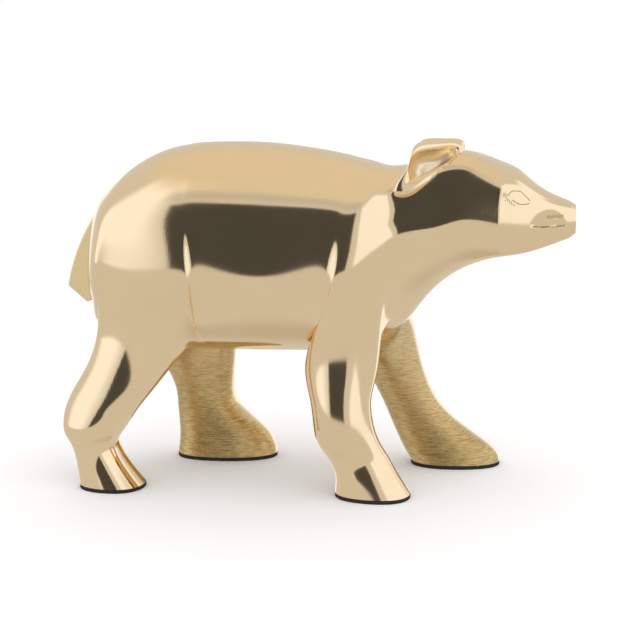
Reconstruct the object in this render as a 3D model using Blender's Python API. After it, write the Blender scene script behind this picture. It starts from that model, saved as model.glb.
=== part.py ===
"""Polished cast brass bear ornament, walking with its head held forward.

The body is cast hollow in a right and a left half, each with its two legs.
The ears and the tail are cast by themselves and seated in sockets, and each
foot stands on a thin pad.  Metres, +X is the way the bear faces, +Y is its
left side, +Z is up, and the pads stand on Z = 0.
"""
from math import cos, radians, sin
from typing import NamedTuple

import bmesh
import bpy
from mathutils import Matrix, Vector

# Driving dimensions of the body, in metres
BODY_LENGTH = 0.235       # from the rump to the nose
BACK_HEIGHT = 0.1665      # highest line of the back
BELLY_HEIGHT = 0.0635     # lowest line of the belly
BODY_WIDTH = 0.087        # across the thighs
HEAD_WIDTH = 0.058        # across the cheeks
NOSE_WIDTH = 0.0195       # across the flat nose
FOLD_DEPTH = 0.0025       # folds before the thigh and behind the shoulder
WALL = 0.0035             # thickness of the casting round its hollow

# Legs
STANCE = 0.064            # between the middles of the right and left feet
LEG_DEPTH = 0.030         # a leg's usual size from back to front
LEG_WIDTH = 0.028         # a leg's usual size from side to side
PAD_THICKNESS = 0.0016    # pad under each foot

# Ears
EAR_LENGTH = 0.040        # along the rim, from the lobe to the tip
EAR_HEIGHT = 0.0183       # across the rim
EAR_CUP = 0.006           # depth of the cup inside the rim
EAR_STAND = 0.0070        # how far the middle of the rim stands off the head
EAR_SET_BACK = 0.0022     # how far it lies behind the neck's section
EAR_DROOP = 0.005         # how far the lobe curls back to the neck
EAR_BACK = 0.015          # depth of the ear behind its rim, with its root in the head

# Tail
TAIL_HEIGHT = 0.050       # from the tail's upper end to its lower edge
TAIL_DROP = 0.042         # from its upper end to its tip
TAIL_REACH = 0.0135       # how far its tip stands behind the rump
TAIL_START = 0.0065       # how far its upper end lies in front of the rump's end
TAIL_BOW = 0.0031         # how far its outer edge bows out
TAIL_HEEL = 0.0035        # how far its lower edge ends behind the rump's end
TAIL_WIDTH = 0.013        # from side to side at the rump
TAIL_TAPER = 0.25         # share of its width lost at the tip
TAIL_TENON = 0.010        # how deep its tenon goes into the rump
TAIL_SHOULDER = 0.004     # how far the tenon lies within the tail's height
TAIL_EDGE = 0.0009        # rounding of its edges
TAIL_STEPS = 8            # straight pieces of its outer edge
TAIL_TOP = 0.705          # share of the body's depth where it starts

# Clearance of what seats in or rests on something else
FIT_GAP = 0.0003

RIGHT, LEFT = -1, 1
FINE, PLAIN = 2, 1        # levels of smoothing


class Ring(NamedTuple):
    """A section across the body.

    back and the two bellies are its places at the back and at the belly, as
    shares of BODY_LENGTH from the rump.  top, bottom and widest are shares of
    the height from the belly line to the back line.  fold is its share of
    FOLD_DEPTH, and round is 1 for an ellipse and less for a squarer section.
    """
    back: float
    belly_right: float
    belly_left: float
    top: float
    bottom: float
    widest: float
    half_width: float
    fold: float = 0.0
    round: float = 1.0


class Section(NamedTuple):
    """A section across a leg.

    height and roll, by which its outer side is higher, are shares of
    BELLY_HEIGHT.  heel and toe are in leg depths from the middle of the foot,
    and inset and width are in leg widths.  turn points its toe outward, in
    degrees.
    """
    height: float
    heel: float
    toe: float
    inset: float
    width: float
    roll: float = 0.0
    turn: float = 0.0


class Leg(NamedTuple):
    """A leg: its side, the three body rings that it joins, the middle of its
    foot along the body, and its sections from the belly down to the sole."""
    side: int
    rings: tuple
    foot: float
    sections: list


HIP = BODY_WIDTH / 2
CHEEK = HEAD_WIDTH / 2
NOSE = NOSE_WIDTH / 2

RUMP = Ring(0.043, 0.014, 0.022, 0.784, 0.190, 0.43, 0.70 * HIP)
CROUP = Ring(0.089, 0.025, 0.046, 0.875, 0.083, 0.41, 0.89 * HIP)
THIGH = Ring(0.157, 0.149, 0.162, 0.956, 0.005, 0.41, HIP)
THIGH_FOLD = Ring(0.240, 0.277, 0.285, 0.990, 0.003, 0.43, HIP, fold=1.0)
BARREL = Ring(0.383, 0.383, 0.396, 0.987, 0.003, 0.44, 0.98 * HIP)
SHOULDER_FOLD = Ring(0.543, 0.477, 0.519, 0.939, 0.010, 0.45, 0.95 * HIP, fold=1.0)
SHOULDER = Ring(0.613, 0.557, 0.596, 0.893, 0.034, 0.47, 0.91 * HIP)
CHEST = Ring(0.664, 0.643, 0.672, 0.898, 0.136, 0.50, 0.81 * HIP)
NECK = Ring(0.715, 0.715, 0.715, 0.927, 0.301, 0.62, 1.03 * CHEEK)
CROWN = Ring(0.779, 0.779, 0.779, 0.951, 0.411, 0.66, CHEEK, round=0.90)
FACE = Ring(0.852, 0.848, 0.848, 0.914, 0.469, 0.66, 0.94 * CHEEK, round=0.65)
BROW = Ring(0.892, 0.892, 0.892, 0.869, 0.489, 0.66, 0.775 * CHEEK, round=0.62)
BRIDGE = Ring(0.936, 0.936, 0.936, 0.789, 0.517, 0.65, 0.575 * CHEEK, round=0.60)
MUZZLE = Ring(0.988, 0.988, 0.988, 0.733, 0.560, 0.65, NOSE, round=0.62)
SNOUT = Ring(1.0, 1.0, 1.0, 0.716, 0.582, 0.65, 0.84 * NOSE, round=0.62)
BODY = [RUMP, CROUP, THIGH, THIGH_FOLD, BARREL, SHOULDER_FOLD, SHOULDER,
        CHEST, NECK, CROWN, FACE, BROW, BRIDGE, MUZZLE, SNOUT]
HOLLOW_REAR = Ring(0.072, 0.058, 0.070, 0.830, 0.210, 0.43, 0.74 * HIP)
HOLLOW_NECK = Ring(0.715, 0.715, 0.715, 0.790, 0.340, 0.58, 0.86 * CHEEK)
HOLLOW_CROWN = Ring(0.779, 0.779, 0.779, 0.740, 0.440, 0.59, 0.76 * CHEEK)
HOLLOW_FACE = Ring(0.830, 0.830, 0.830, 0.740, 0.490, 0.62, 0.66 * CHEEK)
HOLLOW = [HOLLOW_REAR] + BODY[2:8] + [HOLLOW_NECK, HOLLOW_CROWN, HOLLOW_FACE]
REAR = (CROUP, THIGH, THIGH_FOLD)
FRONT = (SHOULDER_FOLD, SHOULDER, CHEST)
RUMP_BULGE = 0.040        # share of BODY_LENGTH behind the rump's ring
HOLLOW_REAR_BULGE = 0.015
HOLLOW_FRONT_BULGE = 0.03

# Places round half a ring, in degrees from the back to the belly
PLACES = (0, 42, 88, 120, 150, 180)
BACK, RIBS, FLANK, GROIN, INSIDE, BELLY = range(len(PLACES))
FOLD_SHARPNESS = 0.75
FACE_SHARPNESS = 1.0
MUZZLE_SHARPNESS = 0.6

LEGS = {
    "right_rear": Leg(RIGHT, REAR, 0.0615, [
        Section(1.07, -0.26, 1.20, -0.02, 1.05, roll=0.09),
        Section(0.78, -0.575, 0.76, 0.0, 0.97),
        Section(0.52, -0.765, 0.36, 0.0, 0.87),
        Section(0.30, -0.60, 0.15, 0.0, 0.84, turn=3),
        Section(0.0, -0.50, 0.57, 0.0, 1.0, turn=6)]),
    "left_rear": Leg(LEFT, REAR, 0.2550, [
        Section(1.07, -1.40, 0.19, -0.02, 1.05, roll=0.09),
        Section(0.66, -0.99, 0.12, 0.0, 0.95),
        Section(0.42, -0.90, 0.22, 0.0, 0.88),
        Section(0.20, -0.85, 0.73, -0.03, 0.93, turn=4),
        Section(0.0, -0.88, 0.87, -0.05, 1.02, turn=6)]),
    "right_front": Leg(RIGHT, FRONT, 0.6040, [
        Section(1.06, -1.10, 0.10, -0.02, 1.03, roll=0.09),
        Section(0.72, -0.98, -0.02, 0.0, 0.95),
        Section(0.42, -0.88, 0.11, 0.0, 0.88),
        Section(0.20, -0.59, 0.39, 0.0, 0.93, turn=4),
        Section(0.0, -0.58, 0.62, 0.0, 1.0, turn=6)]),
    "left_front": Leg(LEFT, FRONT, 0.7630, [
        Section(1.10, -1.85, -0.70, -0.02, 1.03, roll=0.09),
        Section(0.66, -1.41, -0.46, 0.0, 0.95),
        Section(0.36, -1.12, 0.01, 0.0, 0.88),
        Section(0.15, -0.90, 0.62, -0.03, 0.95, turn=4),
        Section(0.0, -0.75, 0.77, -0.05, 1.02, turn=6)]),
}
LEG_CORNER = 0.74         # where a section's corners lie, 0.71 for an ellipse
SOLE_LEVEL = PAD_THICKNESS + FIT_GAP

# The ear's rim and the mouth of its cup, from the lobe over the top, as
# shares of its length and height
EAR_RIM = [(-0.525, -0.04), (-0.375, 0.20), (-0.225, 0.33), (-0.10, 0.57),
           (0.03, 0.705), (0.19, 0.57), (0.35, 0.37), (0.475, 0.175),
           (0.45, -0.08), (0.225, -0.26), (-0.10, -0.295), (-0.39, -0.285)]
EAR_MOUTH = [(-0.295, -0.02), (-0.27, 0.12), (-0.23, 0.285), (-0.135, 0.45),
             (0.0, 0.475), (0.16, 0.345), (0.29, 0.23), (0.375, 0.09),
             (0.34, -0.035), (0.20, -0.10), (-0.025, -0.09), (-0.20, -0.065)]
EAR_PLACE = 35            # degrees round the head from its top
EAR_TILT = 20             # degrees that the cup faces up
EAR_TURN = 15             # degrees that the cup faces forward
EAR_RISE = 36             # degrees that the rim rises to its tip


def along(share):
    """A place along the body, from a share of its length from the rump."""
    return (share - 0.5) * BODY_LENGTH


def up(share):
    """A height, from a share of the depth of the body."""
    return BELLY_HEIGHT + share * (BACK_HEIGHT - BELLY_HEIGHT)


def round_share(value, power):
    """value with its size raised to a power and its sign kept."""
    return abs(value) ** power * (1 if value > 0 else -1)


def on_ring(ring, degrees, side):
    """A point of a body ring, some degrees round it from the back."""
    angle = radians(degrees)
    middle = up(ring.widest)
    reach = up(ring.top) - middle if degrees < 90 else middle - up(ring.bottom)
    drawn_in = ring.fold * FOLD_DEPTH * sin(angle) ** 2
    width = (ring.half_width - drawn_in) * round_share(sin(angle), ring.round)
    if degrees in (0, 180):
        width = 0.0
    low = ring.belly_right if side == RIGHT else ring.belly_left
    if degrees == 180:
        low = (ring.belly_right + ring.belly_left) / 2
    lean = (1 - cos(angle)) / 2
    return Vector((along(ring.back + (low - ring.back) * lean), side * width,
                   middle + reach * round_share(cos(angle), ring.round)))


def leg_section(leg, section):
    """The eight points of a leg's section, from its heel round its outside."""
    half_depth = (section.toe - section.heel) / 2 * LEG_DEPTH
    middle = along(leg.foot) + (section.toe + section.heel) / 2 * LEG_DEPTH
    half_width = section.width * LEG_WIDTH / 2
    line = STANCE / 2 + section.inset * LEG_WIDTH
    level = max(section.height * BELLY_HEIGHT, SOLE_LEVEL)
    turn = radians(section.turn)
    corner = LEG_CORNER
    points = []
    for x, y in ((-corner, corner), (0, 1), (corner, corner), (1, 0),
                 (corner, -corner), (0, -1), (-corner, -corner), (-1, 0)):
        ahead, outward = x * half_depth, y * half_width
        points.append(Vector((
            middle + ahead * cos(turn) - outward * sin(turn),
            leg.side * (line + outward * cos(turn) + ahead * sin(turn)),
            level + y * section.roll * BELLY_HEIGHT)))
    return points


def add_verts(mesh, points):
    return [mesh.verts.new(p) for p in points]


def join_loops(mesh, first, second):
    """Faces between two closed loops of as many vertices."""
    for i in range(len(first)):
        j = (i + 1) % len(first)
        mesh.faces.new((first[i], first[j], second[j], second[i]))


def close_with_strip(mesh, right, left, bulge):
    """Closes the end of the body with two rows of faces that meet in a strip
    down its middle, bulge further along than the ring."""
    strip = [right[BACK]]
    for i in range(1, BELLY):
        swell = sin(radians(PLACES[i])) * bulge
        middle = (right[i].co + left[i].co) / 2
        strip.append(mesh.verts.new(middle + Vector((swell, 0, 0))))
    strip.append(right[BELLY])
    for row in (right, left):
        for i in range(BELLY):
            corners = dict.fromkeys((row[i], row[i + 1], strip[i + 1], strip[i]))
            mesh.faces.new(tuple(corners))


def close_with_fan(mesh, loop):
    """Closes a loop of an even number of vertices with four-sided faces."""
    middle = sum((v.co for v in loop), Vector()) / len(loop)
    centre = mesh.verts.new(middle)
    for i in range(1, len(loop), 2):
        mesh.faces.new((centre, loop[i - 2], loop[i - 1], loop[i]))


def offset(mesh, distance):
    """Moves every face of a closed net out by a distance."""
    bmesh.ops.recalc_face_normals(mesh, faces=mesh.faces)
    mesh.normal_update()
    moves = [v.normal * v.calc_shell_factor() * distance for v in mesh.verts]
    for vertex, move in zip(mesh.verts, moves):
        vertex.co += move


def crease(mesh, loop, sharpness, closed=True):
    """Keeps the edges along a row of vertices crisp when they are smoothed."""
    layer = mesh.edges.layers.float.get("crease_edge")
    if layer is None:
        layer = mesh.edges.layers.float.new("crease_edge")
    for i in range(len(loop) if closed else len(loop) - 1):
        edge = mesh.edges.get((loop[i], loop[(i + 1) % len(loop)]))
        edge[layer] = sharpness


def body_rows(mesh, rings):
    """The rings' vertices: for each side and ring, from the back to the belly."""
    rows = {RIGHT: {}, LEFT: {}}
    for ring in rings:
        back, belly = add_verts(mesh, [on_ring(ring, PLACES[i], RIGHT) for i in (BACK, BELLY)])
        for side in (RIGHT, LEFT):
            between = [on_ring(ring, p, side) for p in PLACES[1:-1]]
            rows[side][ring] = [back] + add_verts(mesh, between) + [belly]
    return rows


def body_cage():
    """The coarse net of the whole body with its four legs."""
    mesh = bmesh.new()
    rows = body_rows(mesh, BODY)
    for side in (RIGHT, LEFT):
        row = rows[side]
        for a, b in zip(BODY, BODY[1:]):
            under_leg = any({a, b} <= set(legs) for legs in (REAR, FRONT))
            for i in range(BELLY):
                if not (under_leg and FLANK <= i < INSIDE):
                    mesh.faces.new((row[a][i], row[b][i], row[b][i + 1], row[a][i + 1]))
        for legs in (REAR, FRONT):
            mesh.verts.remove(row[legs[1]][GROIN])
        for ring, first in ((THIGH_FOLD, 1), (SHOULDER_FOLD, 1)):
            crease(mesh, row[ring][first:GROIN + 1], FOLD_SHARPNESS, closed=False)
        crease(mesh, row[FACE][1:INSIDE + 1], FACE_SHARPNESS, closed=False)
        crease(mesh, row[MUZZLE], MUZZLE_SHARPNESS, closed=False)
        crease(mesh, row[SNOUT], 1.0, closed=False)
    close_with_strip(mesh, rows[RIGHT][RUMP], rows[LEFT][RUMP], -RUMP_BULGE * BODY_LENGTH)
    close_with_strip(mesh, rows[RIGHT][SNOUT], rows[LEFT][SNOUT], 0.0)
    for leg in LEGS.values():
        a, m, b = (rows[leg.side][ring] for ring in leg.rings)
        loop = [a[FLANK], m[FLANK], b[FLANK], b[GROIN],
                b[INSIDE], m[INSIDE], a[INSIDE], a[GROIN]]
        for section in leg.sections:
            lower = add_verts(mesh, leg_section(leg, section))
            join_loops(mesh, loop, lower)
            loop = lower
        crease(mesh, loop, 1.0)
        close_with_fan(mesh, loop)
    return mesh


def hollow_form():
    """A cutter for the hollow inside the casting: the body without its legs,
    drawn in by the wall, and lower in the head, under the roots of the ears."""
    mesh = bmesh.new()
    rows = body_rows(mesh, HOLLOW)
    for row in rows.values():
        for a, b in zip(HOLLOW, HOLLOW[1:]):
            for i in range(BELLY):
                mesh.faces.new((row[a][i], row[b][i], row[b][i + 1], row[a][i + 1]))
    for ring, bulge in ((HOLLOW[0], -HOLLOW_REAR_BULGE), (HOLLOW[-1], HOLLOW_FRONT_BULGE)):
        close_with_strip(mesh, rows[RIGHT][ring], rows[LEFT][ring], bulge * BODY_LENGTH)
    offset(mesh, -WALL)
    form = new_object("hollow", mesh)
    smooth(form, PLAIN)
    settle(form)
    make_guide(form)
    return form


def pad_cage(leg):
    """The coarse net of the pad under one foot, with the sole's outline."""
    mesh = bmesh.new()
    outline = leg_section(leg, leg.sections[-1])
    upper, lower = (add_verts(mesh, [Vector((p.x, p.y, z)) for p in outline])
                    for z in (PAD_THICKNESS, 0.0))
    join_loops(mesh, upper, lower)
    for loop in (upper, lower):
        crease(mesh, loop, 1.0)
        close_with_fan(mesh, loop)
    return mesh


def ear_axes(side):
    """The ear's own directions: along its rim, across it, and out of its cup."""
    tilt, turn, rise = (radians(a) for a in (EAR_TILT, EAR_TURN, EAR_RISE))
    out = Vector((cos(tilt) * sin(turn), side * cos(tilt) * cos(turn), sin(tilt)))
    forward = (Vector((1, 0, 0)) - out * out.x).normalized()
    upward = (Vector((0, 0, 1)) - out * out.z - forward * forward.z).normalized()
    length = forward * cos(rise) + upward * sin(rise)
    across = upward * cos(rise) - forward * sin(rise)
    return length, across, out


def ear_loop(side, outline, depth, size=1.0):
    """A loop of the ear, some depth behind the plane of its rim."""
    length, across, out = ear_axes(side)
    centre = on_ring(NECK, EAR_PLACE, side) + out * (EAR_STAND - depth)
    centre.x -= EAR_SET_BACK
    lobe = min(u for u, v in EAR_RIM)
    points = []
    for u, v in outline:
        droop = EAR_DROOP * (min(u, 0.0) / lobe) ** 2
        points.append(centre - out * droop + length * u * EAR_LENGTH * size
                      + across * v * EAR_HEIGHT * size)
    return points


def ear_cage(side, cupped):
    """The coarse net of an ear: its back, its outside, its rim and its cup.
    Without the cup it is the form of the ear's socket."""
    mesh = bmesh.new()
    lip = [((a + c) / 2, (b + d) / 2) for (a, b), (c, d) in zip(EAR_RIM, EAR_MOUTH)]
    loops = [(EAR_RIM, EAR_BACK, 0.80), (EAR_RIM, 0.5 * EAR_BACK, 0.95),
             (EAR_RIM, 0.12 * EAR_BACK), (lip, 0.0), (EAR_MOUTH, 0.15 * EAR_CUP),
             (EAR_MOUTH, 0.6 * EAR_CUP, 0.85), (EAR_MOUTH, EAR_CUP, 0.5)]
    if not cupped:
        loops = loops[:loops.index((lip, 0.0)) + 1]
    rows = [add_verts(mesh, ear_loop(side, *loop)) for loop in loops]
    for a, b in zip(rows, rows[1:]):
        join_loops(mesh, a, b)
    close_with_fan(mesh, rows[0])
    close_with_fan(mesh, rows[-1])
    return mesh


def tail_outline():
    """The tail's side view: its outer edge is an arc from the rump down to the
    tip, and a tenon goes into the rump."""
    rump, top = along(0.0), up(TAIL_TOP)
    bottom = top - TAIL_HEIGHT
    start = Vector((rump + TAIL_START, top))
    tip = Vector((rump - TAIL_REACH, top - TAIL_DROP))
    outward = Vector((tip.y - start.y, start.x - tip.x)).normalized()
    points = []
    for i in range(TAIL_STEPS + 1):
        t = i / TAIL_STEPS
        points.append(start.lerp(tip, t) + outward * TAIL_BOW * 4 * t * (1 - t))
    points.append(Vector((rump - TAIL_HEEL, bottom)))
    points.append(Vector((rump + TAIL_TENON - TAIL_SHOULDER, bottom + TAIL_SHOULDER)))
    points.append(Vector((rump + TAIL_TENON, top - TAIL_SHOULDER)))
    return points


def tail_mesh():
    """The tail, narrower at its outer edge than at the rump."""
    mesh = bmesh.new()
    sides = []
    for side in (RIGHT, LEFT):
        points = []
        for x, z in tail_outline():
            stand = max(0.0, along(0.0) - x) / TAIL_REACH
            points.append(Vector((x, side * TAIL_WIDTH / 2 * (1 - TAIL_TAPER * stand), z)))
        sides.append(add_verts(mesh, points))
    join_loops(mesh, *sides)
    for loop in sides:
        mesh.faces.new(loop)
    return mesh


def brass(name, colour, roughness):
    material = bpy.data.materials.new(name)
    material.use_nodes = True
    shader = material.node_tree.nodes["Principled BSDF"]
    shader.inputs["Base Color"].default_value = colour + (1.0,)
    shader.inputs["Roughness"].default_value = roughness
    shader.inputs["Metallic"].default_value = 1.0
    return material


def new_object(name, cage, material=None):
    """An object from a net, with its faces turned outward."""
    bmesh.ops.recalc_face_normals(cage, faces=cage.faces)
    mesh = bpy.data.meshes.new(name)
    cage.to_mesh(mesh)
    cage.free()
    mesh.shade_smooth()
    if material:
        mesh.materials.append(material)
    made = bpy.data.objects.new(name, mesh)
    bpy.context.collection.objects.link(made)
    return made


def smooth(made, level):
    modifier = made.modifiers.new("Smooth", "SUBSURF")
    modifier.levels = level
    modifier.render_levels = level


def evaluated_mesh(made):
    """A new mesh of the object as its modifiers leave it."""
    depsgraph = bpy.context.evaluated_depsgraph_get()
    return bpy.data.meshes.new_from_object(made.evaluated_get(depsgraph))


def settle(made, rounds=6):
    """Moves the net's corners until the smooth surface passes through the
    places where they were set, so the sizes above are those of the metal."""
    wanted = [v.co.copy() for v in made.data.vertices]
    for _ in range(rounds):
        reached = evaluated_mesh(made)
        for vertex, want in zip(made.data.vertices, wanted):
            vertex.co += want - reached.vertices[vertex.index].co
        bpy.data.meshes.remove(reached)
        made.data.update()


def make_guide(made):
    """Keeps a cutter out of the picture."""
    made.hide_render = True
    made.display_type = "WIRE"


def grown(made, name, distance):
    """A cutter with the object's shape, larger all round by a distance."""
    mesh = evaluated_mesh(made)
    net = bmesh.new()
    net.from_mesh(mesh)
    bpy.data.meshes.remove(mesh)
    offset(net, distance)
    cutter = new_object(name, net)
    make_guide(cutter)
    return cutter


def cut(made, cutters):
    """Takes all the cutters out of an object in one step."""
    group = bpy.data.collections.new("cutters of " + made.name)
    for cutter in cutters:
        group.objects.link(cutter)
    modifier = made.modifiers.new("Cut", "BOOLEAN")
    modifier.operation = "DIFFERENCE"
    modifier.operand_type = "COLLECTION"
    modifier.collection = group


def side_space(side):
    """A cutter over everything on one side of the joint between the halves."""
    mesh = bmesh.new()
    bmesh.ops.create_cube(mesh, size=2 * BODY_LENGTH)
    for vertex in mesh.verts:
        vertex.co.y += side * (BODY_LENGTH - FIT_GAP / 2)
    space = new_object("space_right" if side == RIGHT else "space_left", mesh)
    make_guide(space)
    return space


def centre_over_origin(pieces):
    """Moves everything so that the middle of the pieces lies over the origin."""
    corners = []
    for piece in pieces:
        mesh = evaluated_mesh(piece)
        corners += [v.co.copy() for v in mesh.vertices]
        bpy.data.meshes.remove(mesh)
    move = Vector()
    for axis in (0, 1):
        places = [c[axis] for c in corners]
        move[axis] = -(min(places) + max(places)) / 2
    for made in bpy.data.objects:
        made.data.transform(Matrix.Translation(move))
        made.data.update()


def build():
    for old in list(bpy.data.objects):
        bpy.data.objects.remove(old)
    polished = brass("polished brass", (0.86, 0.72, 0.44), 0.12)
    felt = brass("black felt", (0.02, 0.02, 0.02), 0.9)
    felt.node_tree.nodes["Principled BSDF"].inputs["Metallic"].default_value = 0.0

    hollow = hollow_form()
    ear_sockets = {}
    for side, word in ((RIGHT, "right"), (LEFT, "left")):
        ear = new_object("ear_" + word, ear_cage(side, cupped=True), polished)
        socket_form = new_object("ear_form_" + word, ear_cage(side, cupped=False))
        for form in (ear, socket_form):
            smooth(form, PLAIN)
            settle(form, 3)
        make_guide(socket_form)
        ear_sockets[side] = grown(socket_form, "ear_socket_" + word, FIT_GAP)
    tail = new_object("tail", tail_mesh(), polished)
    edge = tail.modifiers.new("Edges", "BEVEL")
    edge.width = TAIL_EDGE
    edge.segments = 2
    edge.limit_method = "ANGLE"
    edge.angle_limit = radians(40)
    tail_socket = grown(tail, "tail_socket", FIT_GAP)

    for name, leg in LEGS.items():
        pad = new_object("pad_" + name, pad_cage(leg), felt)
        smooth(pad, PLAIN)
        settle(pad)

    body = new_object("body_right_half", body_cage(), polished)
    smooth(body, FINE)
    settle(body)
    spaces = {side: side_space(side) for side in (RIGHT, LEFT)}
    centre_over_origin([piece for piece in bpy.data.objects if not piece.hide_render])
    halves = {RIGHT: body, LEFT: body.copy()}
    halves[LEFT].name = "body_left_half"
    halves[LEFT].data = body.data.copy()
    bpy.context.collection.objects.link(halves[LEFT])
    for side, half in halves.items():
        cut(half, [hollow, spaces[-side], ear_sockets[side], tail_socket])


build()
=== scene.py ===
# %% [markdown]
# # A polished brass bear
#
# The bear is a cast brass ornament, about 250 mm long, in a walking pose.  The packed
# model gives the pieces and their places: two half castings, two ears, a tail and four
# pads.  This lesson gives them their finish.  It keeps the box of the imported model from
# the start.

# %% Load the frame
from math import cos, pi, radians, sin
from typing import NamedTuple

import bmesh
import bpy
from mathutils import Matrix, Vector
from mathutils.bvhtree import BVHTree


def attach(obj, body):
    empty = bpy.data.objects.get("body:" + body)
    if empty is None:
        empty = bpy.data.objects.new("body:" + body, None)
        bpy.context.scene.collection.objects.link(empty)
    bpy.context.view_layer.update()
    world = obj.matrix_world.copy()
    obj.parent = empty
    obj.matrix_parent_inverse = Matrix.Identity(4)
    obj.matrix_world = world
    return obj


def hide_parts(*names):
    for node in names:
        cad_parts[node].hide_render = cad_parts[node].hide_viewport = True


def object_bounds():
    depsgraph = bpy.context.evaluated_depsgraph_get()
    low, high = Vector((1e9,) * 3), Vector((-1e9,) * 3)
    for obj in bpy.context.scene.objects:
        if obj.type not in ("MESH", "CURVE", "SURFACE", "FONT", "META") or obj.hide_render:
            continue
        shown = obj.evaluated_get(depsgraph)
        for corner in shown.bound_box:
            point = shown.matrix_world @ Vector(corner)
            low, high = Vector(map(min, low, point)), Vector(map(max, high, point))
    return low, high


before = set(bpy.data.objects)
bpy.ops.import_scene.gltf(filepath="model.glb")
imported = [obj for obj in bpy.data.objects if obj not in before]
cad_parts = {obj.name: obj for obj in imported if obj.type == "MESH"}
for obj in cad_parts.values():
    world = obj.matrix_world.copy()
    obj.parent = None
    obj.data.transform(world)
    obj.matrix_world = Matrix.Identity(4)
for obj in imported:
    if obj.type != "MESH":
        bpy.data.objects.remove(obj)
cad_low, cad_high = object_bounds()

RIGHT, LEFT = -1, 1
SIDES = ((RIGHT, "right"), (LEFT, "left"))
MM = 0.001
print("packed model, mm:", [round(v / MM, 1) for v in cad_high - cad_low])

# %% [markdown]
# ## One surface for the whole body
#
# On the real bear the two half castings are welded together, and the joint is ground
# and polished away.  So the body is shown as one skin over both halves.  It could be
# a remesh of the two solids, but a mirror finish shows every facet and every wobble.
# It is better to build the same coarse net as the castings have and to smooth it
# much further.  The net is a row of section rings from the rump to the nose.

# %% Driving sizes
BODY_LENGTH = 0.235
BACK_HEIGHT = 0.1664
BELLY_HEIGHT = 0.0635
HIP = 0.087 / 2
CHEEK = 0.058 / 2
NOSE = 0.0195 / 2
FOLD_DEPTH = 0.0023
FOLD_FADE = 0.80          # above its middle a fold ends where sine squared falls to this
STANCE = 0.064
LEG_DEPTH = 0.030
LEG_WIDTH = 0.028
PAD_THICKNESS = 0.0016
SOLE_LEVEL = PAD_THICKNESS + 0.0003


# %% Rings of the body
class Ring(NamedTuple):
    """A section across the body, in shares of the body's length and depth."""
    back: float           # where its top is along the body
    belly_right: float    # and where its bottom is, on each side
    belly_left: float
    top: float            # heights of its top, its bottom and its widest place
    bottom: float
    widest: float
    half_width: float     # in metres
    fold: float = 0.0     # how much of the folds' depth it is drawn in
    round: float = 1.0    # less than 1 makes it squarer
    corner: float = 0.0   # how square its corner at the ribs is


RUMP = Ring(0.043, 0.014, 0.022, 0.784, 0.190, 0.43, 0.70 * HIP)
CROUP = Ring(0.089, 0.025, 0.046, 0.872, 0.083, 0.40, 0.83 * HIP, corner=0.1)
THIGH = Ring(0.157, 0.149, 0.162, 0.954, 0.005, 0.37, 0.945 * HIP, fold=0.2, corner=0.12)
HAUNCH = Ring(0.212, 0.258, 0.270, 0.983, 0.003, 0.351, 0.978 * HIP, corner=0.15)
THIGH_FOLD = Ring(0.253, 0.264, 0.272, 0.9935, 0.003, 0.335, 0.983 * HIP, fold=1.0, corner=0.15)
BARREL = Ring(0.383, 0.383, 0.396, 0.992, 0.003, 0.34, 0.978 * HIP, corner=0.15)
SHOULDER_FOLD = Ring(0.518, 0.480, 0.509, 0.949, 0.010, 0.35, 0.96 * HIP, fold=1.0, corner=0.22)
BLADE = Ring(0.560, 0.492, 0.532, 0.927, 0.016, 0.353, 0.955 * HIP, corner=0.25)
SHOULDER = Ring(0.601, 0.554, 0.593, 0.905, 0.034, 0.39, 0.907 * HIP, corner=0.4)
CHEST = Ring(0.636, 0.636, 0.669, 0.891, 0.132, 0.53, 0.685 * HIP, corner=0.8)
NECK = Ring(0.715, 0.715, 0.715, 0.927, 0.301, 0.605, 1.02 * CHEEK, corner=1.5)
CROWN = Ring(0.779, 0.779, 0.779, 0.965, 0.411, 0.64, CHEEK, round=0.90, corner=1.1)
FACE = Ring(0.853, 0.846, 0.846, 0.914, 0.469, 0.60, 0.975 * CHEEK, round=0.72, corner=0.1)
BROW = Ring(0.892, 0.892, 0.892, 0.869, 0.489, 0.58, 0.775 * CHEEK, round=0.65)
BRIDGE = Ring(0.936, 0.936, 0.936, 0.789, 0.517, 0.59, 0.575 * CHEEK, round=0.62)
MUZZLE = Ring(0.988, 0.988, 0.988, 0.733, 0.560, 0.615, NOSE, round=0.62)
SNOUT = Ring(1.0, 1.0, 1.0, 0.716, 0.582, 0.625, 0.84 * NOSE, round=0.62)
BODY = [RUMP, CROUP, THIGH, HAUNCH, THIGH_FOLD, BARREL, SHOULDER_FOLD, BLADE,
        SHOULDER, CHEST, NECK, CROWN, FACE, BROW, BRIDGE, MUZZLE, SNOUT]

# Three rings each, between which the rear and the front legs grow
REAR = (CROUP, THIGH, HAUNCH)
FRONT = (BLADE, SHOULDER, CHEST)
RUMP_BULGE = 0.040

# Places round half a ring, in degrees from the back to the belly
PLACES = (0, 42, 66, 88, 120, 150, 180)
BACK, RIBS, SIDE, FLANK, GROIN, INSIDE, BELLY = range(len(PLACES))
CORNER_OUT, CORNER_UP = 0.04, 0.12        # how far a square corner moves the ribs' point


def along(share):
    """A place along the body.  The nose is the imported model's foremost point."""
    return cad_high.x - (1 - share) * BODY_LENGTH


def up(share):
    """A height, from a share of the body's depth."""
    return BELLY_HEIGHT + share * (BACK_HEIGHT - BELLY_HEIGHT)


def round_share(value, power):
    """value with its size raised to a power and its sign kept."""
    return abs(value) ** power * (1 if value > 0 else -1)


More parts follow.
